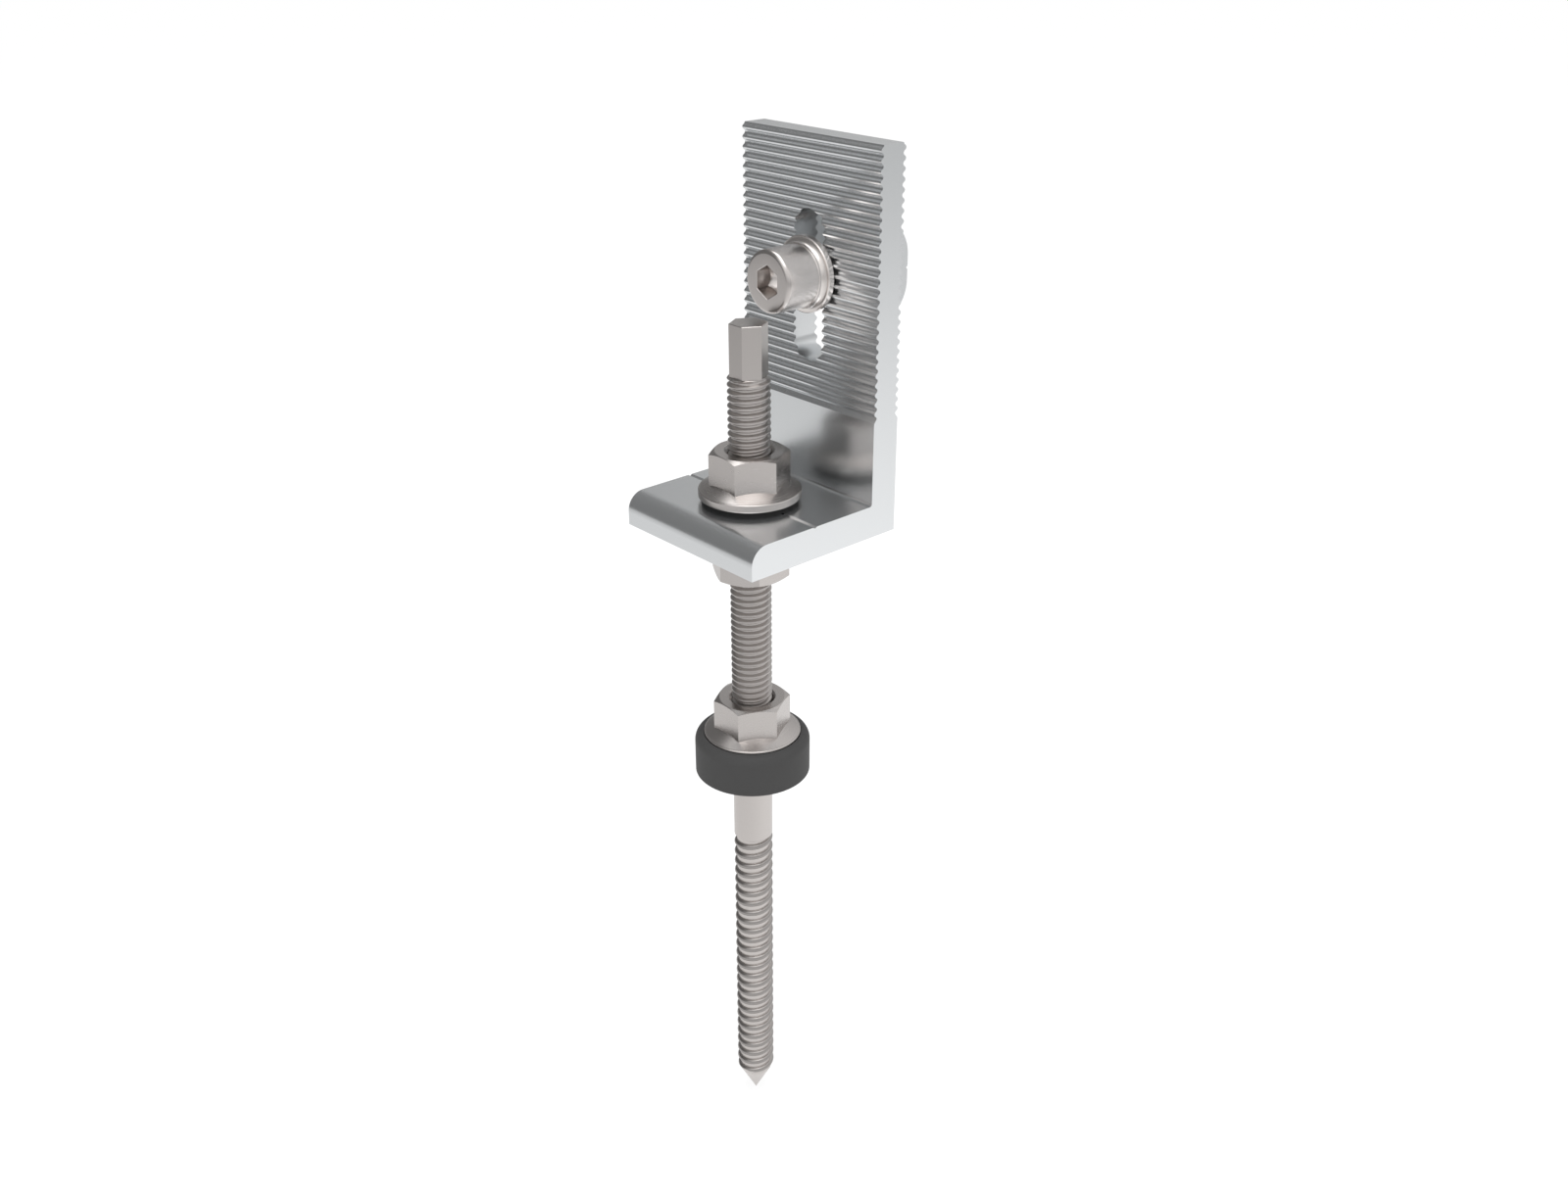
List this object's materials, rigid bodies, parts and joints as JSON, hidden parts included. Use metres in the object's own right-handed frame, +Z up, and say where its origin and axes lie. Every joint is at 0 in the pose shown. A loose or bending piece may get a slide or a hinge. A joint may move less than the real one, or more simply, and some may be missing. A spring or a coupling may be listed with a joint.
{
  "type": "solar l foot bracket",
  "caption": "Ridged aluminium L bracket with a slotted leg, clamp screw and slot nut, carried by flange nuts on a hex-drive hanger bolt with a rubber roof seal.",
  "frame": {"origin": "on the hanger bolt's axis, level with the underside of the sealing washer, which is the roof surface", "axes": "+Z runs up the hanger bolt, +Y points to the back of the bracket's leg where the rail lies, X runs along the bracket's width and the rail"},
  "size_m": [0.04, 0.0532, 0.2349],
  "materials": {
    "bracket_aluminium": "smooth extruded, glossy",
    "stainless_bolt": "rolled stainless steel, semi-gloss",
    "stainless_nut": "turned stainless steel, semi-gloss",
    "black_rubber": "matte",
    "seal_rubber": "matte"
  },
  "bodies": {
    "root": {"l_bracket": "bracket_aluminium", "hanger_bolt": "stainless_bolt", "top_flange_nut": "stainless_nut", "under_flange_nut": "stainless_nut", "seal_flange_nut": "stainless_nut", "foot_washer": "black_rubber", "sealing_washer": "seal_rubber", "cap_screw": "stainless_bolt", "slot_nut": "bracket_aluminium"}
  },
  "joints": []
}
